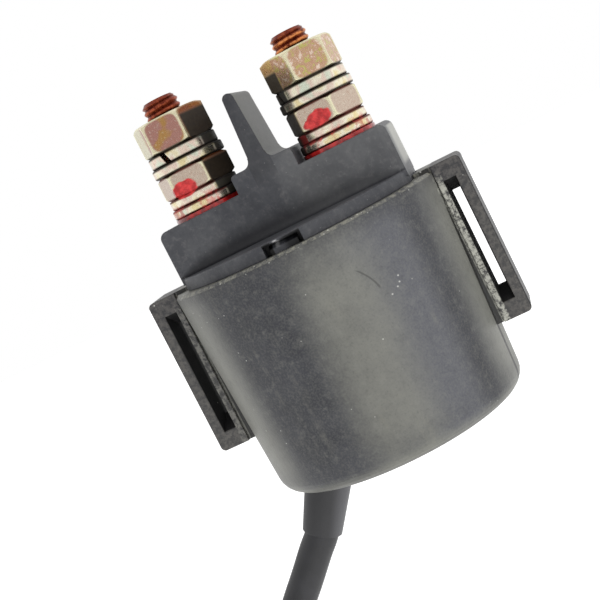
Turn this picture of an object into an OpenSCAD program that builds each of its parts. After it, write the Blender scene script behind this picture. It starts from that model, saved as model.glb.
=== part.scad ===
// Starter solenoid relay: a round moulded case in a rubber damper boot with two slotted ears,
// a terminal cover with two threaded studs, and a sleeved coil lead with a two-way connector.
// Millimetres. Origin: midway between the two ear slots, on the case's axis. +Z up along the
// studs, +X through the right ear, -Y the front, where the cover's small window is.

/* [Boot] */
// outer radius of the boot at its open rim
boot_rim_r = 22.9; // [21.5:0.1:26]
// outer radius of the boot at its floor
boot_floor_r = 21.4; // [21:0.1:25]
// height of the boot from its underside to its rim
boot_height = 36.5; // [34:0.5:50]
// thickness of the boot's floor
boot_floor = 2.2; // [1.5:0.1:4]
// radius of the boot's lower outer edge
boot_edge_r = 3.2; // [1:0.1:5]
// how far the rim stands above the middle of the ear slots
boot_rim_height = 12.7; // [11:0.1:18]

/* [Ears] */
// distance from the axis to the outer face of an ear
ear_reach = 27.3; // [26.5:0.1:34]
// height of an ear
ear_height = 26.6; // [22:0.1:34]
// depth of an ear, front to back
ear_depth = 9; // [8:0.5:16]
// thickness of the bar outside the slot
ear_bar = 1.7; // [1.5:0.1:4]
// radius of the ear's outer corners
ear_corner_r = 0.8; // [0.5:0.1:2.4]
// width of the slot at the ear's front and back faces
slot_width = 2.1; // [1.5:0.1:3.2]
// height of the slot at the ear's front and back faces
slot_height = 21; // [14:0.5:22]
// width of the slot half way through, where it grips the bracket's tab
slot_waist_width = 1.3; // [0.8:0.1:1.5]
// height of the slot half way through
slot_waist_height = 16.5; // [12:0.5:18]

/* [Case] */
// outer radius of the case
case_r = 20; // [19.5:0.1:20.5]
// thickness of the case wall
case_wall = 1.6; // [1:0.1:2.2]
// thickness of the case floor
case_floor = 1.6; // [1:0.1:2.5]
// width of the snap tongue on the case's rim
tongue_width = 4.6; // [3:0.1:6]

/* [Terminal cover] */
// radius of the cover's round flange
flange_r = 20.6; // [20.2:0.1:22]
// thickness of the flange
flange_thick = 2.1; // [1.9:0.1:3]
// width of the terminal block
block_width = 39; // [36:0.5:40]
// depth of the terminal block, front to back
block_depth = 15; // [13:0.5:18]
// height of the block above the flange
block_height = 7.8; // [7:0.1:12]
// radius of the block's upper corners
block_corner_r = 1.2; // [0.5:0.1:2]
// fillet between the block and the flange, front and back
foot_fillet = 1.3; // [0.3:0.1:2]
// width of the raised middle between the studs
middle_width = 10.4; // [9:0.1:12]
// height of the raised middle above the block
middle_height = 3.0; // [1:0.1:4]
// height of the barrier fin above the raised middle
fin_height = 11.5; // [6:0.5:20]
// thickness of the fin at its foot
fin_foot = 3.0; // [2:0.1:4]
// thickness of the fin at its tip
fin_tip = 1.8; // [1.2:0.1:2]
// fillet between the fin and the raised middle
fin_fillet = 1.3; // [0.5:0.1:2]
// width of the window in the front of the flange
window_width = 6.1; // [5.6:0.1:8]
// how far the front window lies to the left of the middle
window_shift = 0; // [0:0.1:2]

/* [Studs and nuts] */
// distance between the two studs
stud_spacing = 23; // [22.5:0.5:25]
// thread diameter of a stud
stud_dia = 6; // [5:0.5:6]
// height of a stud above the block
stud_proud = 19.2; // [18.2:0.1:24]
// radius of the round head inside the cover, which is the fixed contact
stud_head_r = 4.8; // [4:0.1:5]
// thickness of the stud's head
stud_head = 2.4; // [1.5:0.1:3]
// radius of the sealing paint under the stack
seal_r = 6.2; // [5.9:0.1:6.6]
// thickness of the sealing paint
seal_thick = 0.6; // [0.3:0.05:0.8]
// outer diameter of the flat washers
flat_washer_dia = 12.2; // [11.5:0.1:12.2]
// thickness of the lower flat washer
lower_flat_thick = 1.5; // [1:0.1:1.8]
// thickness of the upper flat washer
upper_flat_thick = 1.6; // [1:0.1:1.8]
// outer diameter of the spring washers
spring_washer_dia = 11.6; // [10.5:0.1:12]
// thickness of the lower spring washer
lower_spring_thick = 1.6; // [1:0.1:1.8]
// thickness of the upper spring washer
upper_spring_thick = 1.9; // [1:0.1:2]
// gap in a spring washer
washer_split = 1.0; // [0.5:0.1:1.5]
// distance across the flats of the nuts
nut_flats = 10.8; // [10:0.1:11]
// thickness of the lower nut
lower_nut_thick = 3.9; // [3:0.1:4]
// thickness of the upper nut
upper_nut_thick = 5.2; // [4:0.1:5.4]

/* [Magnet] */
// radius of the bobbin's bore, in which the plunger runs
bobbin_bore_r = 5.9; // [5:0.1:6.5]
// thickness of the bobbin's tube and flanges
bobbin_wall = 1.1; // [0.8:0.1:1.5]
// height of the bobbin over its flanges
bobbin_height = 20.6; // [18:0.2:21.6]
// radius of the bobbin's flanges
bobbin_r = 15.4; // [13.5:0.1:15.6]
// how far the winding lies inside the flanges' edge
winding_inset = 0.6; // [0.3:0.1:2]
// thickness of the yoke's steel strap
yoke_thick = 1.4; // [1:0.1:1.6]
// width of the yoke's strap
yoke_width = 11; // [9:0.5:11]
// height of the plunger
plunger_height = 9; // [8:0.1:10]
// stroke of the plunger
plunger_stroke = 2.8; // [2:0.1:3]
// radius of the push rod
rod_r = 1.5; // [1.2:0.1:1.6]
// wire diameter of the return spring
return_wire = 0.5; // [0.4:0.05:0.6]
// mean radius of the return spring
return_r = 2.4; // [2.3:0.05:2.6]
// turns of the return spring
return_turns = 7; // [5:1:9]

/* [Contacts] */
// travel of the bridge until the contacts meet
bridge_travel = 2.2; // [1.6:0.1:2.2]
// gap left between bridge and heads at full travel
bridge_rest = 0.05; // [0.02:0.01:0.3]
// length of the contact bridge
bridge_length = 30; // [28:0.5:31]
// width of the contact bridge
bridge_width = 7; // [6:0.1:7.5]
// thickness of the contact bridge
bridge_thick = 1.2; // [0.8:0.1:1.6]
// radius of the contact buttons on the bridge
button_r = 2.2; // [1.5:0.1:3]
// thickness of the contact buttons
button_thick = 0.5; // [0.3:0.1:0.8]
// wire diameter of the contact spring
contact_wire = 0.45; // [0.3:0.05:0.5]
// mean radius of the contact spring
contact_r = 2.3; // [2.2:0.05:2.5]
// turns of the contact spring
contact_turns = 3; // [2:1:4]

/* [Lead] */
// distance from the axis to the lead's exit, to the left
lead_offset = 13.8; // [12:0.1:14]
// how far the lead leans to the left of straight down where it leaves
lead_lean = 33; // [0:1:36]
// diameter of the sleeve over the two coil wires
sleeve_dia = 5.6; // [5:0.1:5.8]
// radius of the grommet's nose at the boot
nose_foot_r = 4.0; // [3.4:0.1:4]
// radius of the grommet's nose at its tip
nose_tip_r = 3.3; // [3:0.1:3.6]
// length of the grommet's nose below the boot
nose_length = 11; // [8:0.5:12]
// radius of a coil wire with its insulation
wire_r = 0.9; // [0.7:0.05:1]
// length of bare coil wires between sleeve and connector
wire_show = 8; // [5:0.5:15]

/* [Connector] */
// width of the connector's housing
plug_width = 13; // [12:0.5:18]
// depth of the connector's housing
plug_depth = 7.6; // [7:0.1:10]
// length of the connector's housing
plug_length = 20; // [16:0.5:26]
// distance between the two terminals
terminal_pitch = 6; // [5.6:0.1:6.6]
// width of a terminal cavity
cavity_width = 3.8; // [3.4:0.1:4.4]
// height of a terminal cavity, front to back
cavity_depth = 2.6; // [2.4:0.1:3]
// sheet thickness of the terminals
terminal_thick = 0.4; // [0.3:0.05:0.5]

/* [Hidden] */
// Round faces: cylinders and revolved shapes stay true circles.
$fn = 64;

// Fits.
fit_gap = 0.05;     // between pieces that are put together and stay
run_gap = 0.08;     // round what slides or turns
free_gap = 0.3;     // between pieces that move past or towards each other
cut = 1;            // how far a cut runs past a face

// Heights of the boot and the case.
boot_rim_z = boot_rim_height;
boot_bottom_z = boot_rim_z - boot_height;
boot_inner_r = case_r + fit_gap;
case_bottom_z = boot_bottom_z + boot_floor;
case_floor_z = case_bottom_z + case_floor;
case_inner_r = case_r - case_wall;
seal_ring_thick = 0.4;
case_rim_z = boot_rim_z - seal_ring_thick;
tongue_thick = 1.1;
edge_steps = 6;     // flats that make up a rounded edge in a revolved outline
rim_edge = 0.5;     // bevel on the boot's rim
ear_recess = 0.7;   // how far the ears' roots lie behind their faces

// Heights of the cover.
flange_top_z = boot_rim_z + flange_thick;
block_top_z = flange_top_z + block_height;
middle_top_z = block_top_z + middle_height;
fin_top_z = middle_top_z + fin_height;
stud_tip_z = block_top_z + stud_proud;
flange_edge = 0.25;
middle_corner_r = 0.6;
spigot_wall = 1.3;
spigot_drop = 2;
window_lip = 0.35;
window_drop = 0.1;
seat_recess = 0.2;
cover_roof = 5.6;   // solid plastic between the block's top and the contact chamber
chamber_wall = 1.8;
chamber_top_z = block_top_z - cover_roof;

// Studs, and the stack on them from the block upwards.
stud_x = stud_spacing / 2;
stud_r = stud_dia / 2;
stud_chamfer = 0.7;
nut_bore_r = stud_r + fit_gap;
washer_gap = 0.2;   // radial play of the washers on their stud
washer_bore_r = stud_r + washer_gap;
nut_corner_r = nut_flats / sqrt(3);
nut_chamfer_angle = 30;
seal_top_z = block_top_z + seal_thick;
lower_spring_z = seal_top_z + lower_flat_thick;
lower_nut_z = lower_spring_z + lower_spring_thick;
upper_flat_z = lower_nut_z + lower_nut_thick;
upper_spring_z = upper_flat_z + upper_flat_thick;
upper_nut_z = upper_spring_z + upper_spring_thick;
// Directions, about each stud, of the spring washers' gaps and of one corner of the nuts.
upper_split_turns = [251, 211];
lower_split_turns = [120, 95];
split_slant = 20;   // lean of the gap through the washer
upper_nut_turns = [-62, -100];
lower_nut_turns = [-60, -70];
flat_washer_edge = 0.35;     // rounding of the stamped edge
spring_washer_edge = 0.3;

// Magnet, from the case floor upwards.
yoke_base_top_z = case_floor_z + yoke_thick;
bobbin_top_z = yoke_base_top_z + bobbin_height;
pole_top_z = bobbin_top_z + yoke_thick;
winding_inner_r = bobbin_bore_r + bobbin_wall;
winding_outer_r = bobbin_r - winding_inset;
yoke_leg_out = bobbin_r + yoke_thick + fit_gap;
yoke_leg_in = bobbin_r + fit_gap;
lead_notch_r = 2.6;
plunger_r = bobbin_bore_r - run_gap;
plunger_z = yoke_base_top_z + free_gap;
plunger_top_z = plunger_z + plunger_height;
core_z = plunger_top_z + plunger_stroke + free_gap;
core_r = bobbin_bore_r - fit_gap;
core_lip_r = core_r + bobbin_wall;
core_lip = 0.8;
rod_bore_r = rod_r + run_gap;
spring_bore_r = return_r + return_wire;
plunger_pocket = 3;
core_pocket = 5;
return_low_z = plunger_top_z - plunger_pocket;
return_high_z = core_z + core_pocket;

// Moving contacts, at rest.
head_z = chamber_top_z - stud_head;
button_top_z = head_z - bridge_travel - bridge_rest;
bridge_top_z = button_top_z - button_thick;
bridge_z = bridge_top_z - bridge_thick;
bush_flange_r = 3;
bush_flange = 0.8;
bush_wall = 0.55;
bush_r = rod_bore_r + bush_wall;
bush_z = bridge_z - bush_flange;
collar_r = 3;
collar_thick = 0.8;
clip_r = 2.6;
clip_thick = 0.5;
clip_groove = 0.35;
rod_tail = 1;       // rod above the clip
rod_tip_z = bridge_top_z + clip_thick + rod_tail;
rod_seat = 3;       // rod pressed into the plunger below its pocket
rod_low_z = return_low_z - rod_seat;
collar_z = pole_top_z + core_lip + free_gap;
contact_low_z = collar_z + collar_thick;

// Lead: the exit, the hand-placed route below it, and the connector on its end.
exit_x = -lead_offset;
sleeve_r = sleeve_dia / 2;
nose_inner = 3;     // depth at which the sleeve ends inside the nose
nose_sink = 0.4;    // how far the grommet's neck runs on into its nose
grommet_r = nose_foot_r - free_gap;
grommet_head_r = 4.4;
grommet_head = 0.9;
lead_dir = [-sin(lead_lean), 0, -cos(lead_lean)];
exit_point = [exit_x, 0, boot_bottom_z];
route_below = [
    [-22.5, 0, -35.8], [-25.8, 0, -39.3], [-29.3, 0, -42.9], [-32.7, 0, -46.8],
    [-35.6, 0, -51.2], [-38.1, 0, -56.2], [-40.1, 0, -62.2], [-41.5, 0, -69.2],
    [-42.3, 0, -77], [-42.7, 0, -86], [-42.8, 0, -95], [-42.8, 0, -105]
];
cord_route = concat(
    [exit_point + nose_inner * lead_dir, exit_point + nose_length * lead_dir], route_below);
cord_sides = 10;
cord_end = route_below[len(route_below) - 1];
wire_gap = 0.15;
wire_x = wire_r + wire_gap;
wire_splay = atan((terminal_pitch / 2 - wire_x) / wire_show);
wire_run = norm([terminal_pitch / 2 - wire_x, wire_show]);
wire_sink = 1.5;    // wire inside the sleeve's end
plug_top_z = cord_end[2] - wire_show;
plug_corner_r = 1;
cavity_length_share = 0.8;
latch_width_share = 0.4;
latch_length_share = 0.7;
latch_thick = 1;
latch_gap = 0.6;
latch_hook = 0.8;
terminal_width_share = 0.88;
terminal_length_share = 0.55;
terminal_inset = 0.8;
curl_share = 0.3;   // width of a terminal's rolled edge, of the terminal's width

coil_lead_r = 0.65;
coil_lead_x = 1.1;

// Colours.
rubber_grey = [0.22, 0.22, 0.22];
plastic_grey = [0.2, 0.2, 0.22];
copper = [0.7, 0.35, 0.2];
zinc_yellow = [0.8, 0.72, 0.45];
steel = [0.6, 0.6, 0.62];
seal_red = [0.7, 0.1, 0.08];
nylon = [0.85, 0.83, 0.78];

// A flat outline with all four corners rounded by true arcs, centred on the origin.
module rounded_rect(w, h, r) {
    square([w - 2 * r, h], center = true);
    square([w, h - 2 * r], center = true);
    for (sx = [-1, 1], sy = [-1, 1])
        translate([sx * (w / 2 - r), sy * (h / 2 - r)]) circle(r);
}

// A front-view outline (x to the right, y up) pushed from the front to the back.
module front_extrude(depth) {
    translate([0, depth / 2, 0]) rotate([90, 0, 0]) linear_extrude(depth) children();
}

// Points of a round edge in a revolved outline, about centre c, from angle a0 to a1.
function edge_arc(c, r, a0, a1) = [
    for (i = [0 : edge_steps])
        let (a = a0 + (a1 - a0) * i / edge_steps) c + r * [cos(a), sin(a)]
];

module ring(outer_r, inner_r, h) {
    difference() {
        cylinder(r = outer_r, h = h);
        translate([0, 0, -cut]) cylinder(r = inner_r, h = h + 2 * cut);
    }
}

// Puts its children at a stud: 0 is the left one and 1 the right one.
module at_stud(i) {
    translate([(2 * i - 1) * stud_x, 0, 0]) children();
}

// A round tube swept along points: one ring of corners at each point, square to the route.
function unit(v) = v / norm(v);
function route_dir(p, i) =
    i == 0 ? unit(p[1] - p[0])
    : i == len(p) - 1 ? unit(p[i] - p[i - 1])
    : unit(unit(p[i] - p[i - 1]) + unit(p[i + 1] - p[i]));
function ring_points(c, d, side, r, sides) = [
    for (k = [0 : sides - 1])
        c + r * (cos(360 * k / sides) * side + sin(360 * k / sides) * cross(d, side))
];
module swept_tube(p, side_of, r, sides) {
    n = len(p);
    rings = [
        for (i = [0 : n - 1])
            let (d = route_dir(p, i), s = side_of(i), side = unit(s - (s * d) * d))
                each ring_points(p[i], d, side, r, sides)
    ];
    quads = [
        for (i = [0 : n - 2], k = [0 : sides - 1])
            let (a = i * sides + k, b = i * sides + (k + 1) % sides)
                each [[a, b, b + sides], [a, b + sides, a + sides]]
    ];
    first = [for (k = [1 : sides - 2]) [0, k + 1, k]];
    last = [for (k = [1 : sides - 2]) (n - 1) * sides * [1, 1, 1] + [0, k, k + 1]];
    polyhedron(points = rings, faces = [for (f = concat(quads, first, last)) [f[0], f[2], f[1]]]);
}

// A coil spring between two heights, drawn to the wire's surface at both ends.
spring_ring_step = 8;
spring_sides = 6;
module coil_spring(low_z, high_z, mean_r, wire_dia, turns) {
    n = turns * spring_ring_step;
    rise = high_z - low_z - wire_dia;
    pts = [
        for (i = [0 : n])
            let (a = 360 * i / spring_ring_step)
                [mean_r * cos(a), mean_r * sin(a), low_z + wire_dia / 2 + rise * i / n]
    ];
    swept_tube(pts, function(i) [0, 0, 1], wire_dia / 2, spring_sides);
}

// The boot: a tapered cup with a rounded lower edge, fused to two slotted ears.
module rubber_boot() {
    color(rubber_grey) difference() {
        union() {
            boot_shell();
            front_extrude(ear_depth - 2 * ear_recess) ears_outline();
            front_extrude(ear_depth) ear_bars_outline();
        }
        translate([0, 0, case_bottom_z]) cylinder(r = boot_inner_r, h = boot_height);
        for (side = [-1, 1]) translate([side * slot_x, 0, 0]) slot_cut();
        translate([exit_x, 0, boot_bottom_z - cut]) cylinder(r = grommet_r + fit_gap, h = boot_floor + 2 * cut);
    }
}
slot_x = ear_reach - ear_bar - slot_width / 2;
module boot_shell() {
    rotate_extrude() polygon(concat(
        [[0, boot_bottom_z]],
        edge_arc([boot_floor_r - boot_edge_r, boot_bottom_z + boot_edge_r], boot_edge_r, -90, 0),
        [[boot_rim_r, boot_rim_z - rim_edge], [boot_rim_r - rim_edge, boot_rim_z], [0, boot_rim_z]]));
}
module ears_outline() {
    rounded_rect(2 * ear_reach, ear_height, ear_corner_r);
}
// The ears stand proud of their roots, from just outside the boot's wall outwards.
module ear_bars_outline() {
    difference() {
        ears_outline();
        square([2 * (boot_rim_r - ear_recess / 2), ear_height + cut], center = true);
    }
}
// The slot narrows from both faces of the ear to a waist half way through.
module slot_cut() {
    intersection() {
        translate([0, 0, -slot_height]) linear_extrude(2 * slot_height)
            waist_outline(slot_width / 2, slot_waist_width / 2);
        translate([-slot_width, 0, 0]) rotate([90, 0, 90]) linear_extrude(2 * slot_width) rotate(90)
            waist_outline(slot_height / 2, slot_waist_height / 2);
    }
}
// Half widths at the ear's faces and half way between them; x across, y through the ear.
module waist_outline(mouth, waist) {
    deep = ear_depth / 2;
    polygon([
        [-mouth, -deep - cut], [mouth, -deep - cut], [mouth, -deep], [waist, 0], [mouth, deep],
        [mouth, deep + cut], [-mouth, deep + cut], [-mouth, deep], [-waist, 0], [-mouth, -deep]
    ]);
}

// The case: a cup with a snap tongue front and back that stands up into the cover.
module case() {
    tongue_top_z = flange_top_z - window_lip - free_gap;
    color(plastic_grey) difference() {
        union() {
            translate([0, 0, case_bottom_z]) cylinder(r = case_r, h = case_rim_z - case_bottom_z);
            for (turn = [0, 180]) rotate([0, 0, turn]) tongue(tongue_top_z);
        }
        translate([0, 0, case_floor_z]) cylinder(r = case_inner_r, h = boot_height);
        translate([exit_x, 0, case_bottom_z - cut])
            cylinder(r = grommet_r + fit_gap, h = case_floor + 2 * cut);
    }
}
window_x = -window_shift;
// The tongue's face stays inside the case's curve over its whole width.
tongue_face_y = -sqrt(pow(case_r, 2) - pow(window_shift + tongue_width / 2, 2)) + fit_gap;
// A tongue at the front, under the window, bevelled towards the outside at its top.
module tongue(top_z) {
    back_y = -(case_r - tongue_thick);
    translate([window_x - tongue_width / 2, 0, 0]) rotate([90, 0, 90]) linear_extrude(tongue_width) polygon([
        [back_y, case_rim_z - cut], [tongue_face_y, case_rim_z - cut],
        [tongue_face_y, top_z - tongue_thick / 2], [back_y, top_z]
    ]);
}

// The flat ring that seals the cover on the case, cut away for the tongues.
module cover_seal() {
    color(rubber_grey) difference() {
        translate([0, 0, case_rim_z]) ring(case_r - fit_gap, case_inner_r + fit_gap, seal_ring_thick);
        for (turn = [0, 180]) rotate([0, 0, turn])
            translate([window_x - tongue_width / 2 - fit_gap, -case_r - cut, case_rim_z - cut])
                cube([tongue_width + 2 * fit_gap, case_r + cut, seal_ring_thick + 2 * cut]);
    }
}

// The cover: a round flange with a window front and back, a block with the raised middle and
// the fin, a spigot down into the case, and the chamber in which the contacts move.
module terminal_cover() {
    color(plastic_grey) difference() {
        union() {
            translate([0, 0, boot_rim_z]) flange_disc();
            front_extrude(block_depth) block_outline();
            for (turn = [0, 180]) rotate([0, 0, turn]) block_foot();
            translate([0, 0, boot_rim_z - seal_ring_thick - spigot_drop])
                cylinder(r = case_inner_r - fit_gap, h = spigot_drop + seal_ring_thick);
        }
        translate([0, 0, chamber_mid_z]) chamber();
        for (turn = [0, 180]) rotate([0, 0, turn]) window_cut();
        for (i = [0, 1]) at_stud(i) {
            translate([0, 0, boot_rim_z]) cylinder(r = stud_r + fit_gap, h = block_height + flange_thick + cut);
            translate([0, 0, block_top_z - seat_recess]) cylinder(r = seal_r, h = cut);
        }
    }
}
chamber_mid_z = (chamber_top_z + boot_rim_z) / 2;
// The flange is cut flush with the ends of the block.
module flange_disc() {
    intersection() {
        rotate_extrude() polygon([
            [0, 0], [flange_r, 0], [flange_r, flange_thick - flange_edge],
            [flange_r - flange_edge, flange_thick], [0, flange_thick]
        ]);
        cube([block_width, 2 * flange_r + cut, 2 * flange_thick + cut], center = true);
    }
}
// The fillet along the block's front foot, kept within the flange's round edge.
module block_foot() {
    intersection() {
        translate([-block_width / 2, -block_depth / 2, flange_top_z])
            rotate([90, 0, 90]) linear_extrude(block_width) difference() {
                translate([-foot_fillet, -fit_gap]) square(foot_fillet + fit_gap);
                translate([-foot_fillet, foot_fillet]) circle(foot_fillet);
            }
        translate([0, 0, boot_rim_z]) cylinder(r = flange_r - flange_edge, h = flange_thick + block_height);
    }
}
module block_outline() {
    base_z = boot_rim_z + flange_thick / 2;
    translate([0, (base_z + block_top_z) / 2]) {
        rounded_rect(block_width, block_top_z - base_z, block_corner_r);
        translate([-block_width / 2, -(block_top_z - base_z) / 2])
            square([block_width, block_corner_r + cut]);
    }
    translate([0, (base_z + middle_top_z) / 2])
        rounded_rect(middle_width, middle_top_z - base_z, middle_corner_r);
    fin_outline();
}
module fin_outline() {
    tip_r = fin_tip / 2;
    polygon([
        [-fin_foot / 2, middle_top_z - cut], [fin_foot / 2, middle_top_z - cut],
        [fin_foot / 2, middle_top_z], [tip_r, fin_top_z - tip_r],
        [-tip_r, fin_top_z - tip_r], [-fin_foot / 2, middle_top_z]
    ]);
    translate([0, fin_top_z - tip_r]) circle(tip_r);
    for (side = [0, 1]) mirror([side, 0]) difference() {
        translate([fin_foot / 2 - fin_tip / 4, middle_top_z - fit_gap])
            square([fin_fillet + fin_tip / 4, fin_fillet + fit_gap]);
        translate([fin_foot / 2 + fin_fillet, middle_top_z + fin_fillet]) circle(fin_fillet);
    }
}
// The contact chamber: a bay under the block, and the open spigot below it.
module chamber() {
    bay_width = block_width - 2 * chamber_wall;
    bay_depth = block_depth - 2 * chamber_wall;
    linear_extrude(chamber_top_z - boot_rim_z, center = true)
        rounded_rect(bay_width, bay_depth, chamber_wall);
    translate([0, 0, boot_rim_z - seal_ring_thick - spigot_drop - cut - chamber_mid_z])
        cylinder(r = case_inner_r - fit_gap - spigot_wall, h = spigot_drop + seal_ring_thick + cut + fit_gap);
}
module window_cut() {
    floor_z = boot_rim_z - cut;
    translate([window_x - window_width / 2, -flange_r - cut, floor_z])
        cube([window_width, flange_r + cut - (case_r - tongue_thick) + free_gap, flange_thick - window_lip + cut]);
}

// A stud: contact head inside the cover, shank through it, chamfered end.
module terminal_stud() {
    rotate_extrude() polygon([
        [0, head_z], [stud_head_r, head_z], [stud_head_r, chamber_top_z], [stud_r, chamber_top_z],
        [stud_r, stud_tip_z - stud_chamfer], [stud_r - stud_chamfer, stud_tip_z], [0, stud_tip_z]
    ]);
}
module terminal_stud_left() {
    color(copper) at_stud(0) terminal_stud();
}
module terminal_stud_right() {
    color(copper) at_stud(1) terminal_stud();
}

// Sealing paint, a thin collar in the shallow seat under each stack.
module stud_sealant() {
    color(seal_red) for (i = [0, 1]) at_stud(i) translate([0, 0, block_top_z - seat_recess])
        ring(seal_r - fit_gap, nut_bore_r, seal_thick + seat_recess);
}

// A ring whose outer edges are rounded, as on a stamped or coiled washer.
module washer_ring(outer_r, thick, edge) {
    rotate_extrude() polygon(concat(
        [[washer_bore_r, 0]],
        edge_arc([outer_r - edge, edge], edge, -90, 0),
        edge_arc([outer_r - edge, thick - edge], edge, 0, 90),
        [[washer_bore_r, thick]]));
}
module flat_washer(z, thick) {
    translate([0, 0, z]) washer_ring(flat_washer_dia / 2, thick, flat_washer_edge);
}
module spring_washer(z, thick, split_turn) {
    gap_len = spring_washer_dia;
    translate([0, 0, z]) difference() {
        washer_ring(spring_washer_dia / 2, thick, spring_washer_edge);
        rotate([0, 0, split_turn]) translate([0, 0, thick / 2]) rotate([split_slant, 0, 0])
            translate([0, -washer_split / 2, -thick]) cube([gap_len, washer_split, 2 * thick]);
    }
}
// A hexagon nut: a true cone bevels the corners at both ends.
module hex_nut(z, thick, turn) {
    bevel = (nut_corner_r - nut_flats / 2) * tan(nut_chamfer_angle);
    translate([0, 0, z]) difference() {
        intersection() {
            rotate([0, 0, turn]) cylinder(r = nut_corner_r, h = thick, $fn = 6);
            rotate_extrude() polygon([
                [0, 0], [nut_flats / 2, 0], [nut_corner_r + fit_gap, bevel],
                [nut_corner_r + fit_gap, thick - bevel], [nut_flats / 2, thick], [0, thick]
            ]);
        }
        translate([0, 0, -cut]) cylinder(r = nut_bore_r, h = thick + 2 * cut);
    }
}
module lower_flat_washers() {
    color(zinc_yellow) for (i = [0, 1]) at_stud(i) flat_washer(seal_top_z, lower_flat_thick);
}
module lower_spring_washers() {
    color(zinc_yellow) for (i = [0, 1]) at_stud(i)
        spring_washer(lower_spring_z, lower_spring_thick, lower_split_turns[i]);
}
module lower_nuts() {
    color(zinc_yellow) for (i = [0, 1]) at_stud(i) hex_nut(lower_nut_z, lower_nut_thick, lower_nut_turns[i]);
}
module upper_flat_washer_left() {
    color(zinc_yellow) at_stud(0) flat_washer(upper_flat_z, upper_flat_thick);
}
module upper_spring_washer_left() {
    color(zinc_yellow) at_stud(0) spring_washer(upper_spring_z, upper_spring_thick, upper_split_turns[0]);
}
module terminal_nut_left() {
    color(zinc_yellow) at_stud(0) hex_nut(upper_nut_z, upper_nut_thick, upper_nut_turns[0]);
}
module upper_flat_washer_right() {
    color(zinc_yellow) at_stud(1) flat_washer(upper_flat_z, upper_flat_thick);
}
module upper_spring_washer_right() {
    color(zinc_yellow) at_stud(1) spring_washer(upper_spring_z, upper_spring_thick, upper_split_turns[1]);
}
module terminal_nut_right() {
    color(zinc_yellow) at_stud(1) hex_nut(upper_nut_z, upper_nut_thick, upper_nut_turns[1]);
}

// The yoke: a U of strap steel, front to back under and beside the bobbin.
module yoke() {
    color(steel) intersection() {
        translate([-yoke_width / 2, 0, 0]) rotate([90, 0, 90]) linear_extrude(yoke_width) difference() {
            translate([-yoke_leg_out, case_floor_z]) square([2 * yoke_leg_out, pole_top_z - case_floor_z]);
            translate([-yoke_leg_in, yoke_base_top_z])
                square([2 * yoke_leg_in, pole_top_z - yoke_base_top_z + cut]);
        }
        translate([0, 0, case_floor_z - cut]) cylinder(r = case_inner_r - fit_gap, h = boot_height);
    }
}
// The plate that closes the magnet on top, between the yoke's legs.
module pole_plate() {
    color(steel) translate([0, 0, bobbin_top_z]) difference() {
        cylinder(r = yoke_leg_in - fit_gap, h = yoke_thick);
        translate([0, 0, -cut]) cylinder(r = core_r + fit_gap, h = yoke_thick + 2 * cut);
    }
}
// The fixed core: it hangs in the pole plate by its lip, with a pocket for the return spring.
module fixed_core() {
    color(steel) rotate_extrude() polygon([
        [rod_bore_r, return_high_z], [spring_bore_r, return_high_z], [spring_bore_r, core_z],
        [core_r, core_z], [core_r, pole_top_z], [core_lip_r, pole_top_z],
        [core_lip_r, pole_top_z + core_lip], [rod_bore_r, pole_top_z + core_lip]
    ]);
}
module bobbin() {
    color(nylon) translate([0, 0, yoke_base_top_z]) difference() {
        union() {
            cylinder(r = winding_inner_r, h = bobbin_height);
            for (z = [0, bobbin_height - bobbin_wall]) translate([0, 0, z]) cylinder(r = bobbin_r, h = bobbin_wall);
        }
        translate([0, 0, -cut]) cylinder(r = bobbin_bore_r, h = bobbin_height + 2 * cut);
        translate([exit_x, 0, -cut]) cylinder(r = lead_notch_r, h = bobbin_wall + cut);
    }
}
module coil_winding() {
    color(copper) translate([0, 0, yoke_base_top_z + bobbin_wall])
        ring(winding_outer_r, winding_inner_r + fit_gap, bobbin_height - 2 * bobbin_wall);
}
// The two ends of the winding, from the grommet up through the bobbin's notch.
module coil_leads() {
    low_z = case_floor_z + grommet_head;
    color(copper) for (side = [-1, 1]) translate([exit_x, side * coil_lead_x, low_z])
        cylinder(r = coil_lead_r, h = yoke_base_top_z + bobbin_wall - low_z);
}

module plunger() {
    color(steel) rotate_extrude() polygon([
        [0, plunger_z], [plunger_r, plunger_z], [plunger_r, plunger_top_z],
        [spring_bore_r, plunger_top_z], [spring_bore_r, return_low_z], [rod_r, return_low_z],
        [rod_r, rod_low_z], [0, rod_low_z]
    ]);
}
// The push rod, with a collar that carries the contact spring and a groove for the clip.
module push_rod() {
    groove_r = rod_r - clip_groove;
    color(steel) rotate_extrude() polygon([
        [0, rod_low_z], [rod_r, rod_low_z], [rod_r, collar_z], [collar_r, collar_z],
        [collar_r, contact_low_z], [rod_r, contact_low_z], [rod_r, bridge_top_z],
        [groove_r, bridge_top_z], [groove_r, bridge_top_z + clip_thick],
        [rod_r, bridge_top_z + clip_thick], [rod_r, rod_tip_z], [0, rod_tip_z]
    ]);
}
module return_spring() {
    color(steel) coil_spring(return_low_z, return_high_z, return_r, return_wire, return_turns);
}
module contact_bridge() {
    color(copper) translate([0, 0, bridge_z]) linear_extrude(bridge_thick) difference() {
        rounded_rect(bridge_length, bridge_width, bridge_thick);
        circle(bush_r + fit_gap);
    }
}
// Silver buttons on the bridge, under the stud heads.
module contact_buttons() {
    color([0.85, 0.85, 0.85]) for (i = [0, 1]) at_stud(i) translate([0, 0, bridge_top_z])
        cylinder(r = button_r, h = button_thick);
}
module insulating_bush() {
    color(nylon) rotate_extrude() polygon([
        [rod_bore_r, bush_z], [bush_flange_r, bush_z], [bush_flange_r, bridge_z], [bush_r, bridge_z],
        [bush_r, bridge_top_z - fit_gap], [rod_bore_r, bridge_top_z - fit_gap]
    ]);
}
module contact_spring() {
    color(steel) coil_spring(contact_low_z, bush_z, contact_r, contact_wire, contact_turns);
}
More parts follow.
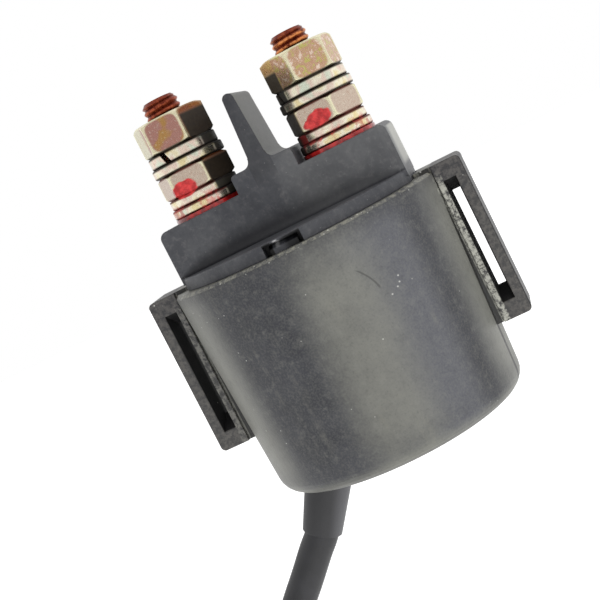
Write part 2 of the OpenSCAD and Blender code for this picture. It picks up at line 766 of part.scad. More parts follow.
// An open clip in the rod's groove.
module retaining_clip() {
    color(steel) translate([0, 0, bridge_top_z]) linear_extrude(clip_thick - fit_gap) difference() {
        circle(clip_r);
        circle(rod_r - clip_groove + fit_gap);
        translate([0, -(rod_r - clip_groove)]) square([clip_r + cut, 2 * (rod_r - clip_groove)]);
    }
}

// The grommet: a head inside the case, a neck through both floors, a nose along the lead.
module lead_grommet() {
    color(rubber_grey) difference() {
        union() {
            translate([exit_x, 0, case_floor_z]) cylinder(r = grommet_head_r - free_gap, h = grommet_head);
            translate([exit_x, 0, boot_bottom_z - nose_sink])
                cylinder(r = grommet_r, h = case_floor_z + grommet_head - boot_bottom_z + nose_sink);
            intersection() {
                along_lead() {
                    cylinder(r1 = nose_foot_r, r2 = nose_tip_r, h = nose_length);
                    translate([0, 0, -nose_foot_r]) cylinder(r = nose_foot_r, h = nose_foot_r);
                }
                translate([exit_x - 2 * nose_length, -nose_length, boot_bottom_z - 2 * nose_length])
                    cube([4 * nose_length, 2 * nose_length, 2 * nose_length]);
            }
        }
        along_lead() translate([0, 0, nose_inner]) cylinder(r = sleeve_r, h = nose_length);
    }
}
// Turns +Z to the way the lead leaves, at the exit.
module along_lead() {
    translate(exit_point) rotate([0, 180 + lead_lean, 0]) children();
}
module lead_sleeve() {
    color([0.08, 0.08, 0.09]) swept_tube(cord_route, function(i) [0, 1, 0], sleeve_r, cord_sides);
}
// The two coil wires between the sleeve's end and the connector.
module lead_wires() {
    color([0.05, 0.05, 0.05]) translate([cord_end[0], 0, cord_end[2]]) for (side = [-1, 1])
        translate([side * wire_x, 0, 0]) rotate([0, 180 - side * wire_splay, 0])
            cylinder(r = wire_r, h = wire_run);
}
module connector_housing() {
    z_mid = plug_top_z - plug_length / 2;
    latch_len = plug_length * latch_length_share;
    latch_w = plug_width * latch_width_share;
    color(nylon) translate([cord_end[0], 0, z_mid]) {
        difference() {
            linear_extrude(plug_length, center = true) rounded_rect(plug_width, plug_depth, plug_corner_r);
            for (side = [-1, 1]) translate([side * terminal_pitch / 2, 0, 0]) {
                translate([-cavity_width / 2, -cavity_depth / 2, -plug_length / 2 - cut])
                    cube([cavity_width, cavity_depth, plug_length * cavity_length_share + cut]);
                cylinder(r = wire_r + fit_gap, h = plug_length);
            }
        }
        // The latch: a foot on the housing's front face, an arm over it and a hook at its end.
        translate([-latch_w / 2, -plug_depth / 2 - latch_gap - latch_thick, -latch_len / 2]) {
            cube([latch_w, latch_thick, latch_len]);
            translate([0, 0, -fit_gap]) cube([latch_w, latch_gap + latch_thick + fit_gap, latch_thick]);
            translate([0, -latch_hook, latch_len - 2 * latch_thick]) cube([latch_w, latch_hook + fit_gap, 2 * latch_thick]);
        }
    }
}
// Receptacle terminals: a flat strip with both edges rolled over, in each cavity.
module connector_terminals() {
    w = cavity_width * terminal_width_share;
    curl = w * curl_share;
    tall = cavity_depth - 2 * terminal_thick;
    len = plug_length * terminal_length_share;
    color(zinc_yellow) for (side = [-1, 1])
        translate([cord_end[0] + side * terminal_pitch / 2, 0, plug_top_z - plug_length + terminal_inset])
            linear_extrude(len) difference() {
                translate([-w / 2, -tall / 2]) square([w, tall]);
                translate([-w / 2 + terminal_thick, -tall / 2 + terminal_thick])
                    square([w - 2 * terminal_thick, tall - 2 * terminal_thick]);
                translate([-w / 2 + curl, 0]) square([w - 2 * curl, tall]);
            }
}

rubber_boot();
case();
cover_seal();
terminal_cover();
terminal_stud_left();
terminal_stud_right();
stud_sealant();
lower_flat_washers();
lower_spring_washers();
lower_nuts();
upper_flat_washer_left();
upper_spring_washer_left();
terminal_nut_left();
upper_flat_washer_right();
upper_spring_washer_right();
terminal_nut_right();
yoke();
pole_plate();
fixed_core();
bobbin();
coil_winding();
coil_leads();
plunger();
push_rod();
return_spring();
contact_bridge();
contact_buttons();
insulating_bush();
contact_spring();
retaining_clip();
lead_grommet();
lead_sleeve();
lead_wires();
connector_housing();
connector_terminals();
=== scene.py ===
"""Looks of a starter solenoid relay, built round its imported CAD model.

Metres, in the CAD model's frame: +Z up along the studs, +X through the right ear, -Y the front.
The finishes work in millimetres. Order: camera, finishes, the lead (the only cord), the studs,
finishes on CAD nodes, stage and light.
"""

import math
from typing import NamedTuple

import bpy
from mathutils import Matrix, Vector


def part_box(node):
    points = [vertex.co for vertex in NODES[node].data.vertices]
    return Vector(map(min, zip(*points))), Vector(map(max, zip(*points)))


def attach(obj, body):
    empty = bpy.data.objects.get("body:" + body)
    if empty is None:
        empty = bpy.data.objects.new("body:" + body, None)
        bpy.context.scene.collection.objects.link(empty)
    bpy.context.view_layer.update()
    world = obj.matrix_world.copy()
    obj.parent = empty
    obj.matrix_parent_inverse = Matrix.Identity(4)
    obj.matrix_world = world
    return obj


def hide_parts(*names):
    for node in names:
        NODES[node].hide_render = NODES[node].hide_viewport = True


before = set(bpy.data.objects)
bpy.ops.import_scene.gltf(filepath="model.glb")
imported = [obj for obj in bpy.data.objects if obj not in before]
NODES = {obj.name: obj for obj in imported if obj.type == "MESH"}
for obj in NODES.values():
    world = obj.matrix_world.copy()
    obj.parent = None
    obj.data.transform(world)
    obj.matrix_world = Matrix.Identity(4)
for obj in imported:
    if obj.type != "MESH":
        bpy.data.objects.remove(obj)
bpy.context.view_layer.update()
MM = 0.001
STUD_X = 11.5  # millimetres from the middle to each stud

# Part: camera.
# The photograph was taken close by, a little from the right and from above, and tilted.
CAMERA_AIM = Vector((-5.6, 0, 3.1)) * MM
CAMERA_AZIMUTH = math.radians(11.5)
CAMERA_ELEVATION = math.radians(5.85)
CAMERA_ROLL = math.radians(26.9)
CAMERA_DISTANCE = 216 * MM
CAMERA_LENS = 80.8  # millimetres, as is the sensor's width
CAMERA_SENSOR = 36


def make_camera():
    """The camera stands off its aim point by azimuth and elevation, then rolls about its view."""
    back = Vector((
        math.sin(CAMERA_AZIMUTH) * math.cos(CAMERA_ELEVATION),
        -math.cos(CAMERA_AZIMUTH) * math.cos(CAMERA_ELEVATION),
        math.sin(CAMERA_ELEVATION),
    ))
    data = bpy.data.cameras.new("camera")
    data.sensor_width = CAMERA_SENSOR
    data.lens = CAMERA_LENS
    data.clip_start = 10 * MM
    camera = bpy.data.objects.new("camera", data)
    bpy.context.scene.collection.objects.link(camera)
    camera.rotation_mode = "QUATERNION"
    turn = (-back).to_track_quat("-Z", "Y")
    roll = Matrix.Rotation(-CAMERA_ROLL, 3, "Z").to_quaternion()
    camera.rotation_quaternion = turn @ roll
    camera.location = CAMERA_AIM + back * CAMERA_DISTANCE
    bpy.context.scene.camera = camera


make_camera()


# Part: shader maths.
class Shade:
    """A socket of a node tree, with the usual operators for values."""

    def __init__(self, tree, socket):
        self.tree, self.socket = tree, socket

    def _math(self, operation, *values):
        return node(self.tree, "ShaderNodeMath", {"operation": operation}, *values)

    def __add__(self, other):
        return self._math("ADD", self, other)

    def __sub__(self, other):
        return self._math("SUBTRACT", self, other)

    def __rsub__(self, other):
        return self._math("SUBTRACT", other, self)

    def __mul__(self, other):
        return self._math("MULTIPLY", self, other)

    def __truediv__(self, other):
        return self._math("DIVIDE", self, other)

    def power(self, other):
        return self._math("POWER", self, other)

    def maximum(self, other):
        return self._math("MAXIMUM", self, other)

    def minimum(self, other):
        return self._math("MINIMUM", self, other)

    def size(self):
        return self._math("ABSOLUTE", self)

    def floor(self):
        return self._math("FLOOR", self)

    def direction(self, along):
        """The angle in radians of the point that is self across and along ahead."""
        return self._math("ARCTAN2", self, along)

    def over(self, low, high):
        """0 below low, 1 above high, and a smooth step between them. low may be above high."""
        settings = {"interpolation_type": "SMOOTHSTEP", "clamp": True}
        return node(self.tree, "ShaderNodeMapRange", settings, self, low, high, 0.0, 1.0)

    def within(self, start, rise_end, fall_start, end):
        """1 between rise_end and fall_start, falling to 0 at start and at end."""
        return self.over(start, rise_end) * self.over(end, fall_start)

    def near(self, place, width):
        """1 at place, falling to 0 at width from it."""
        return (self - place).size().over(width, width * 0.35)


def distance(*steps):
    """The length of the way whose steps along the axes are given."""
    total = steps[0].power(2)
    for step in steps[1:]:
        total = total + step.power(2)
    return total.power(0.5)


def node(tree, kind, settings, *values, **named):
    """Adds a node: its settings first, then values or links for its inputs in order or by name."""
    made = tree.nodes.new(kind)
    for name, value in settings.items():
        setattr(made, name, value)
    inputs = [(made.inputs[i], v) for i, v in enumerate(values)]
    inputs += [(made.inputs[name.replace("_", " ")], v) for name, v in named.items()]
    for socket, value in inputs:
        if isinstance(value, Shade):
            tree.links.new(value.socket, socket)
        elif value is not None:
            socket.default_value = value
    return Shade(tree, made.outputs[0])


class Finish:
    """A material under construction, with the patterns that this object's surfaces share.
    x, y and z are the place on the object in millimetres."""

    def __init__(self, name):
        self.material = bpy.data.materials.new(name)
        self.material.use_nodes = True
        self.tree = self.material.node_tree
        self.shader = self.tree.nodes["Principled BSDF"]
        place = self.tree.nodes.new("ShaderNodeTexCoord")
        self.place = Shade(self.tree, place.outputs["Object"])
        axes = self.tree.nodes.new("ShaderNodeSeparateXYZ")
        self.tree.links.new(self.place.socket, axes.inputs[0])
        self.x, self.y, self.z = (Shade(self.tree, s) / MM for s in axes.outputs)

    def by_stud(self):
        """1 at the right stud and 0 at the left one, and the distance in x from its axis."""
        right = self.x.over(-0.1, 0.1)
        return right, self.x - (right * 2 - 1) * STUD_X

    def noise(self, size_mm, detail=2.0, roughness=0.5, stretch=(1, 1, 1)):
        """Cloudy noise with lumps of about size_mm, stretched along the axes."""
        at = self.place
        if stretch != (1, 1, 1):
            at = node(self.tree, "ShaderNodeMapping", {}, at, None, None, stretch)
        return node(self.tree, "ShaderNodeTexNoise", {}, at,
                    Scale=1 / (size_mm * MM), Detail=detail, Roughness=roughness)

    def specks(self, size_mm, fill):
        """Small round specks on a grid of size_mm, fill of a cell's width across."""
        cells = node(self.tree, "ShaderNodeTexVoronoi", {}, self.place, Scale=1 / (size_mm * MM))
        return cells.over(fill, fill * 0.4)

    def blend(self, mask, first, second):
        """Colour first where mask is 0 and second where it is 1."""
        made = self.tree.nodes.new("ShaderNodeMix")
        made.data_type = "RGBA"
        for index, value in ((0, mask), (6, first), (7, second)):
            if isinstance(value, Shade):
                self.tree.links.new(value.socket, made.inputs[index])
            else:
                made.inputs[index].default_value = value
        return Shade(self.tree, made.outputs[2])

    def lay(self, base, *layers):
        """Lays colours over base in turn, each given as its mask and its colour."""
        for mask, colour in layers:
            base = self.blend(mask, base, colour)
        return base

    def ramp(self, value, stops):
        made = self.tree.nodes.new("ShaderNodeValToRGB")
        elements = made.color_ramp.elements
        while len(elements) < len(stops):
            elements.new(0.5)
        for element, (place, colour) in zip(elements, stops):
            element.position, element.color = place, colour
        self.tree.links.new(value.socket, made.inputs[0])
        return Shade(self.tree, made.outputs[0])

    def set(self, **sockets):
        """Base_Color, Roughness and so on, as a constant or a link."""
        for name, value in sockets.items():
            socket = self.shader.inputs[name.replace("_", " ")]
            if isinstance(value, Shade):
                self.tree.links.new(value.socket, socket)
            else:
                socket.default_value = value

    def relief(self, height, depth_mm, soft_edge_mm):
        """Bumps of that depth over rounded edges."""
        edge = node(self.tree, "ShaderNodeBevel", {"samples": 6}, soft_edge_mm * MM)
        bump = node(self.tree, "ShaderNodeBump", {}, Distance=depth_mm * MM, Height=height)
        self.tree.links.new(edge.socket, bump.socket.node.inputs["Normal"])
        self.set(Normal=bump)


def tone(*values):
    """A colour from its red, green and blue on screen, 0 to 255, or a grey from one value."""
    red, green, blue = values if len(values) == 3 else values * 3
    return tuple((value / 255) ** 2.2 for value in (red, green, blue)) + (1.0,)


# Part: finishes. Heights and places are in millimetres, colours in screen values.
RIM_Z = 12.7  # the boot's rim
FLOOR_Z = -23.8  # its underside
EAR_FROM = 22.3  # from the middle to where the ears begin
EAR_REACH = 27.3  # and to their outer faces
SLOT_FROM, SLOT_TO = 23.4, 25.7  # the slots, from the middle
SLOT_TOP = 10.5
FLANGE_TOP = 14.8
FLANGE_R = 20.6
BLOCK_FRONT = -7.5
BLOCK_END = 19.5  # its right end face
FOOT_FRONT = -9.1  # the front of the fillet along the block's foot
WINDOW_SIDE = 3.0  # from the middle to each side of the cover's window
# Painted glints on the boot's front: x and z.
GLINTS = [(12.7, 2.1), (12.5, 1.2), (12.0, 0.7), (10.9, 0.1)]
GLINT_R = 0.19
SCRATCH_AT = (9.2, 3.7)  # x and z of the scratch's middle, on the boot's front
SEAM_WIDTH = 0.46  # of the dark joints between nuts and washers
NOSE_AT = (-15.4, -26.3)  # x and z of a point on the axis of the grommet's nose
NOSE_ACROSS = (0.84, -0.54)  # x and z of the direction to the right of that axis


def boot_dust(f, around, clouds):
    """Masks of the boot's dust with a painted highlight down its front, of its sides with dust and
    painted light, and of a painted lighter strip right of the middle. around: degrees about the
    axis from the front, growing to the right."""
    # A painted highlight down the front, slanting a little with height.
    highlight_band = (around - f.z * 0.1 - 12.0).size().over(25, 5)
    # The sides: dust with painted light.
    sides = (around - 9.0).size().within(44, 68, 105, 140) * 0.95
    behind = around.size().over(150, 175) * 0.7
    dust_and_highlight = highlight_band.maximum(sides).maximum(behind) * (clouds * 0.7 + 0.6)
    dust_and_highlight = dust_and_highlight * (1.0 - f.z.over(4.0, 12.0) * 0.5)
    # A painted lighter strip right of the middle.
    painted_light_strip = around.within(6, 24, 40, 54) * (1.0 - f.z.over(8.0, 12.0) * 0.4)
    return dust_and_highlight, sides, painted_light_strip


def boot_specks(f, at_front):
    """Masks of the boot's light dust specks with the painted glints, and of its dark scratch."""
    dust_and_glints = f.specks(1.7, 0.08) * f.noise(6, 2).over(0.48, 0.6)
    # Painted glints: small white dots on the front.
    for x, z in GLINTS:
        spot = distance(f.x - x, f.z - z).over(GLINT_R, 0.03)
        dust_and_glints = dust_and_glints.maximum(spot * at_front)
    rise = f.z - SCRATCH_AT[1]
    bend = f.x - SCRATCH_AT[0] + rise * 0.5 + rise.power(2) * 0.09
    scratch = bend.near(0.0, 0.2) * rise.size().over(2.2, 1.6) * at_front
    return dust_and_glints, scratch


def boot_rubber():
    """Dull blue-grey rubber under pale olive dust, with specks, a scratch and rubbed ears, and with
    painted highlights, glints and shade.
    """
    f = Finish("boot_rubber")
    clouds = f.noise(7, 4, 0.6)
    grain = f.noise(0.3, 3)
    smears = f.noise(3, 5, 0.7, (1, 1, 0.35))
    mottle = f.noise(0.9, 4, 0.75)
    patches = f.noise(1.5, 5, 0.75)
    across = f.x.size()
    at_front = f.y.over(0.0, -1.0)
    ears = across.over(EAR_FROM, EAR_FROM + 0.3)
    around = f.x.direction(0.0 - f.y) / math.radians(1)
    dust_and_highlight, sides, painted_light_strip = boot_dust(f, around, clouds)
    dust_and_glints, scratch = boot_specks(f, at_front)
    # The rim: a thin rubbed line with white grains, the line partly a painted highlight on the
    # rim's edge.
    worn_and_lit_rim = f.z.over(RIM_Z - 0.5, RIM_Z - 0.3) * mottle.over(0.4, 0.6) * (1.0 - ears)
    grains = f.z.over(RIM_Z - 0.8, RIM_Z - 0.4) * f.specks(0.8, 0.22)
    grains = grains * f.noise(2.5, 2).over(0.5, 0.6)
    # The ears: dark, with a rubbed bar beside the slot, and painted shade in the slot and in the
    # step at the ears' roots.
    at_right = f.x.over(-1, 1)
    ear_front = f.y.over(-4.2, -4.45)
    flank = f.y.over(-3.6, -3.75)
    bars = across.within(EAR_FROM - 0.2, EAR_FROM - 0.05, SLOT_FROM + 0.1, SLOT_FROM + 0.3)
    # The right ear's bar is painted lighter than the left one's, as lit.
    bars = bars * f.z.over(12.6, 9.0) * flank * (at_right * 0.6 + 0.2)
    slot_shade = across.within(SLOT_FROM - 0.1, SLOT_FROM, SLOT_TO, SLOT_TO + 0.2)
    slot_shade = slot_shade * f.z.size().over(SLOT_TOP + 0.1, SLOT_TOP) * (1.0 - ear_front)
    outer_face = across.over(EAR_REACH - 0.25, EAR_REACH - 0.1) * at_right
    root_shade = across.within(20.5, 20.7, EAR_FROM - 0.15, EAR_FROM) * f.y.over(-4.7, -4.6) * flank
    base = f.lay(
        f.blend(clouds.over(0.35, 0.65), tone(39, 40, 45), tone(48, 49, 54)),
        # A painted lighter strip right of the middle.
        (painted_light_strip * 0.8, tone(83, 84, 89)),
        # Dust, with a painted highlight down the front.
        (dust_and_highlight * 0.85, tone(104, 104, 98)),
        # The sides: dust with painted light.
        (sides * (1.0 - ears) * 0.4, tone(136, 136, 129)),
        # Painted shade under the rim, darker towards the lower edge, a painted highlight along that
        # edge, even below it.
        (f.z.over(RIM_Z - 2.7, RIM_Z - 0.5) * 0.42, tone(50, 50, 52)),
        (f.z.over(-17.0, -21.0) * 0.28, tone(56, 57, 62)),
        (f.z.over(FLOOR_Z + 2.6, FLOOR_Z + 0.6) * 0.5, tone(108, 108, 98)),
        (f.z.over(FLOOR_Z + 0.9, FLOOR_Z + 0.2) * 0.95, tone(72, 72, 68)),
        # Lighter and darker blotches and grain.
        (patches.over(0.5, 0.7) * 0.22, tone(117, 117, 111)),
        (patches.over(0.5, 0.3) * 0.22, tone(38, 39, 44)),
        (smears.over(0.55, 0.8) * 0.25, tone(118, 117, 106)),
        (grain.over(0.4, 0.7) * 0.18, tone(110, 110, 102)),
        (grain.over(0.45, 0.25) * 0.18, tone(30, 31, 36)),
        (ears * 0.8, f.blend(mottle.over(0.4, 0.6), tone(40, 39, 42), tone(76, 73, 71))),
        (bars * mottle.over(0.41, 0.57), tone(170, 170, 160)),
        (outer_face * 0.7, tone(30, 30, 32)),
        # Painted shade in the slot.
        (slot_shade * 0.95, tone(8, 8, 10)),
        # A rubbed line along the rim, partly a painted highlight.
        (worn_and_lit_rim * 0.5, tone(142, 140, 126)),
        # Painted shade in the step at the ears' roots.
        (root_shade * 0.8, tone(16, 15, 20)),
        (scratch * 0.5, tone(30, 30, 30)),
        # Dust specks, white grains on the rim and the painted glints.
        ((dust_and_glints * 0.5).maximum(grains * 0.75), tone(215, 215, 208)),
    )
    f.set(Base_Color=base, Roughness=grain * 0.15 + slot_shade * 0.4 + 0.42, Specular_IOR_Level=0.45)
    f.relief(grain * 0.6 + smears * 0.8, 0.08, 0.25)
    return f.material


def block_foot_shade(f):
    """Mask of the painted shade along the terminal block's foot, as high as the flange's ledge in
    front of it is deep."""
    ledge = (FLANGE_R ** 2 - f.x.power(2)).maximum(0.0).power(0.5) + BLOCK_FRONT
    height = (f.z - FLANGE_TOP) / (ledge * 0.27 + 0.35)
    foot = height.over(1.15, 0.1) * height.over(-0.05, 0.0)
    foot = foot * f.y.within(FOOT_FRONT - 0.1, FOOT_FRONT, BLOCK_FRONT + 0.05, BLOCK_FRONT + 0.1)
    return foot * (f.x.over(19, -14) * 0.4 + 0.55)


def cover_plastic():
    """Dark satin moulding with fine grain and faint rubbed patches, with painted shade and painted
    light on the block, the fin and the window.
    """
    f = Finish("cover_plastic")
    clouds = f.noise(7, 4, 0.6)
    grain = f.noise(0.25, 2)
    rubs = f.noise(2.5, 5, 0.65, (1, 1, 0.4))
    mottle = f.noise(0.8, 4, 0.7)
    # The block's front has painted shade left of the middle and is rubbed and painted lighter right
    # of it; its right end is painted pale, as lit.
    front = f.y.over(BLOCK_FRONT + 0.5, BLOCK_FRONT + 0.1)
    block = front * f.y.over(FOOT_FRONT - 0.1, FOOT_FRONT + 0.1)
    block = block * f.z.over(FLANGE_TOP + 0.1, FLANGE_TOP + 0.4)
    flange = front * f.y.over(FOOT_FRONT, FOOT_FRONT - 0.2)
    end = f.x.over(BLOCK_END - 0.2, BLOCK_END - 0.05) * f.y.over(BLOCK_FRONT + 0.1, -1)
    end = end * f.z.over(15, 16)
    # The barrier fin's front has painted shade and its right side painted light.
    fin_lit_side = f.z.over(25, 26) * f.x.over(0, 0.3)
    fin_lit_side = fin_lit_side * f.y.over(BLOCK_FRONT + 0.05, BLOCK_FRONT + 0.2)
    fin_front_shade = f.z.over(21, 25) * f.x.size().over(1.93, 1.88) * (1.0 - fin_lit_side)
    # Painted deep shade in the gaps beside the snap tongue and over its right side, and a painted
    # glint on its edge.
    window = f.x.size().over(WINDOW_SIDE + 0.1, WINDOW_SIDE) * f.y.over(-18.3, -18.5)
    window = window * f.z.over(FLANGE_TOP - 0.05, FLANGE_TOP - 0.2)
    glint = (f.x + 0.9).size().over(0.5, 0.1) * f.z.over(13.3, 14.3)
    base = f.lay(
        f.blend(clouds.over(0.3, 0.7), tone(57, 58, 62), tone(75, 76, 79)),
        (rubs.over(0.5, 0.8) * 0.35, tone(108, 108, 108)),
        (mottle.over(0.5, 0.7) * 0.3, tone(106, 104, 104)),
        (mottle.over(0.5, 0.3) * 0.3, tone(46, 48, 52)),
        (block * f.x.within(-13, -9, -1, 2) * 0.3, tone(36, 37, 44)),
        (block * f.x.over(0, 5) * (clouds * 0.2 + 0.1), tone(108, 108, 106)),
        (flange * 0.25, tone(44, 45, 50)),
        # The right end face: painted light.
        (end * 0.7, tone(176, 176, 168)),
        (fin_front_shade * 0.45, tone(34, 34, 37)),
        (fin_lit_side * 0.4, tone(104, 104, 96)),
        (f.specks(1.3, 0.07) * 0.4, tone(150, 150, 148)),
        # Painted shade along the block's foot.
        (block_foot_shade(f), tone(15, 15, 20)),
        (window * f.x.size().over(1.6, 1.8), tone(6, 6, 8)),
        (window * f.x.over(-0.3, 0.9) * 0.9, tone(20, 20, 22)),
        (window * glint * 0.6, tone(190, 190, 190)),
    )
    f.set(Base_Color=base, Roughness=grain * 0.12 + 0.42, Specular_IOR_Level=0.4)
    f.relief(grain, 0.02, 0.3)
    return f.material


class NutLook(NamedTuple):
    """What sets one pair of alike nuts apart. Angles in degrees, heights in millimetres."""

    corners: tuple  # the direction of a corner of the left and of the right nut
    ends: tuple  # the heights of the lower and the upper end
    shade_to: tuple  # how high the painted shade reaches on the left and on the right nut
    colour: tuple  # of the faces
    mottled: bool  # with ochre and a painted lighter outer side on the left nut and coloured spots on the right one


def pair_value(right, pair):
    """The pair's first number at the left stud and its second at the right one."""
    return right * (pair[1] - pair[0]) + pair[0]


def nut_faces(f, look, bloom, right, off_x):
    """The colour of a nut's faces, each in a pale frame with rounded corners, as the bevelled ends
    leave it: a painted highlight along the edges."""
    turn = pair_value(right, [math.radians(corner) for corner in look.corners])
    sector = (f.y.direction(off_x) - turn) / (math.pi / 3)
    colour = look.colour
    if look.mottled:
        mottle = f.noise(1.1, 4, 0.7)
        spots = f.blend(mottle.over(0.52, 0.6), tone(198, 160, 132), tone(192, 184, 108))
        spots = f.blend(mottle.over(0.46, 0.38), spots, tone(236, 214, 194))
        colour = f.lay(
            colour,
            (bloom.over(0.5, 0.64), tone(170, 130, 80)),
            # The left nut's outer side painted lighter, as lit.
            (off_x.over(-3.6, -4.3) * 0.8, tone(214, 214, 184)),
            (right * 0.9, spots),
        )
    low, high = look.ends
    # The frame: a painted highlight.
    across = ((sector - sector.floor() - 0.5) * 2).size()
    along = ((f.z - (low + high) / 2) / ((high - low) / 2)).size()
    edge = (across.power(5) + along.power(5)).power(0.2)
    return f.blend(edge.over(0.86, 0.96) * 0.85, colour, tone(232, 228, 192))


def red_paint(f, drops, inner_shade):
    """Mask of the drops of paint and of the thin film that crept up the washers."""
    rim = f.noise(1.3, 3) - 0.5
    paint = f.noise(1.6, 3).over(0.5, 0.62) * f.z.over(26.2, 24.4) * 0.6
    for x, y, z, r in drops:
        off = distance((f.x - x) * 0.72, (f.y - y) * 0.6, (f.z - z) * 1.15) + rim
        paint = paint.maximum(off.over(r, r - 0.3))
    return paint * (1.0 - inner_shade)


def yellow_zinc(name, seams, gap_colour, shade_from, nut=None, drops=()):
    """Yellow passivated zinc of nuts, or of pairs of washers, with painted shade. seams: the
    heights of the joints between the pieces, painted dark as shade. gap_colour: the colour of that
    shade.
    shade_from: how far from the left and the right stud's axis the painted shade begins. drops:
    centre and radius of drops of paint."""
    f = Finish(name)
    bloom = f.noise(2.6, 2, 0.5)
    fine = f.noise(0.4, 4, 0.7)
    right, off_x = f.by_stud()
    if nut:
        tint = nut_faces(f, nut, bloom, right, off_x)
    else:
        tint = f.ramp(bloom, [
            (0.34, tone(232, 216, 168)), (0.45, tone(244, 238, 214)),
            (0.54, tone(232, 208, 192)), (0.66, tone(216, 224, 204)),
        ])
    # Painted shade in the joints between the pieces.
    joints = f.z.near(seams[0], SEAM_WIDTH)
    for seam in seams[1:]:
        joints = joints.maximum(f.z.near(seam, SEAM_WIDTH))
    tint = f.lay(
        tint,
        (fine.over(0.52, 0.72) * 0.45, tone(160, 112, 84)),
        (fine.over(0.44, 0.3) * 0.35, tone(246, 242, 220)),
        (joints * 0.95, gap_colour),
    )
    # Painted shade on the sides towards the fin: near black, and on the nuts brown on the left one
    # and tan on the right one above it.
    inner = off_x * (1.0 - right * 2)
    start = pair_value(right, shade_from)
    if nut:
        inner_shade = inner.over(start, start + 0.4)
        tint = f.blend(inner_shade * 0.7, tint, f.blend(right, tone(150, 92, 56), tone(206, 168, 112)))
        top = pair_value(right, nut.shade_to)
        inner_shade = inner_shade * f.z.over(top + 0.35, top - 0.35)
        black = f.blend(fine.over(0.35, 0.65), tone(25, 22, 16), tone(38, 34, 26))
    else:
        # On the flat washer of each pair the painted shade begins farther from the axis than on the
        # spring washer on it.
        start = start + f.z.over(seams[1] + 0.1, seams[1] - 0.1) * 1.1
        inner_shade = inner.over(start, start + 0.4)
        black = f.blend(fine.over(0.35, 0.65), tone(12, 10, 8), tone(24, 21, 16))
    tint = f.blend(inner_shade * 0.98, tint, black)
    metal = (1.0 - inner_shade) * (0.85 if nut else 1.0)
    if drops and not nut:
        # The paint ran on over the painted shade of the right stack's lower washers.
        run = inner_shade * right * inner.over(5.3, 4.6) * fine.over(0.3, 0.5)
        tint = f.blend(run * 0.9, tint, tone(112, 24, 22))
    if drops:
        paint = red_paint(f, drops, inner_shade)
        red = f.blend(f.noise(0.9, 3).over(0.35, 0.65), tone(150, 26, 28), tone(198, 54, 54))
        tint = f.blend(paint, tint, red)
        metal = metal.minimum(1.0 - paint)
    rough = fine * 0.2 + 0.16 + joints * 0.3 + inner_shade * 0.3
    f.set(Base_Color=tint, Metallic=metal, Roughness=rough)
    f.relief(fine, 0.015, 0.18)
    return f.material


def stud_copper():
    """Copper flash gone brown, dark in the thread's roots and bright on its crests, which are
    painted brighter on the right stud, as lit.
    """
    f = Finish("stud_copper")
    tarnish = f.noise(0.9, 4, 0.65)
    right, off_x = f.by_stud()
    crest = distance(off_x, f.y).over(2.78, 2.95)
    base = f.ramp(tarnish, [
        (0.3, tone(86, 36, 30)), (0.5, tone(120, 54, 38)), (0.7, tone(158, 84, 56)),
    ])
    # The right stud's crests painted brighter, as lit.
    bright = f.blend(right, tone(176, 92, 66), tone(240, 156, 96))
    base = f.blend(crest * tarnish.over(0.35, 0.6) * 0.8, base, bright)
    f.set(Base_Color=base, Metallic=0.9, Roughness=tarnish * 0.3 + 0.22)
    f.relief(f.noise(0.4, 3), 0.03, 0.05)
    return f.material


def seal_paint():
    """Thick glossy red paint."""
    f = Finish("seal_paint")
    base = f.blend(f.noise(1.5, 3).over(0.35, 0.7), tone(110, 16, 15), tone(186, 36, 36))
    f.set(Base_Color=base, Roughness=0.22, Coat_Weight=0.6)
    f.relief(f.noise(1.1, 2), 0.12, 0.2)
    return f.material


def plain_metal(name, colour, roughness, grain_mm=0.4):
    """Bright metal with fine marks from its making."""
    f = Finish(name)
    marks = f.noise(grain_mm, 4, 0.6, (1, 1, 0.2))
    darker = tuple(c * 0.7 for c in colour[:3]) + (1.0,)
    f.set(Base_Color=f.blend(marks.over(0.3, 0.8), colour, darker), Metallic=1.0,
          Roughness=marks * 0.2 + roughness)
    f.relief(marks, 0.01, 0.1)
    return f.material


def plain_moulding(name, light, dark, roughness, soft_edge_mm=0.2):
    """Moulded plastic or rubber whose colour drifts a little."""
    f = Finish(name)
    drift = f.noise(4, 4)
    grain = f.noise(0.3, 2)
    f.set(Base_Color=f.blend(drift.over(0.3, 0.7), light, dark), Roughness=grain * 0.15 + roughness)
    f.relief(grain, 0.015, soft_edge_mm)
    return f.material


def grommet_rubber():
    """Dark rubber, painted lighter along the right of the nose that the lead comes out of, as lit.
    """
    f = Finish("grommet_rubber")
    aside = (f.x - NOSE_AT[0]) * NOSE_ACROSS[0] + (f.z - NOSE_AT[1]) * NOSE_ACROSS[1]
    base = f.blend(f.noise(4, 4).over(0.3, 0.7), tone(38, 38, 40), tone(32, 32, 34))
    # Painted light along the right of the nose.
    base = f.blend(aside.over(1.0, 3.0) * 0.8, base, tone(72, 72, 75))
    grain = f.noise(0.3, 2)
    f.set(Base_Color=base, Roughness=grain * 0.15 + 0.42)
    f.relief(grain, 0.015, 0.2)
    return f.material


# Part: modelling helpers.
def deselect():
    if bpy.context.object and bpy.context.object.mode != "OBJECT":
        bpy.ops.object.mode_set(mode="OBJECT")
    bpy.ops.object.select_all(action="DESELECT")


def make_active(piece):
    deselect()
    piece.select_set(True)
    bpy.context.view_layer.objects.active = piece


def apply_place(piece):
    """Puts the piece's place into its mesh, so that its object sits at the origin."""
    make_active(piece)
    bpy.ops.object.transform_apply(location=True, rotation=True, scale=True)


def apply_modifiers(piece):
    make_active(piece)
    for modifier in list(piece.modifiers):
        bpy.ops.object.modifier_apply(modifier=modifier.name)


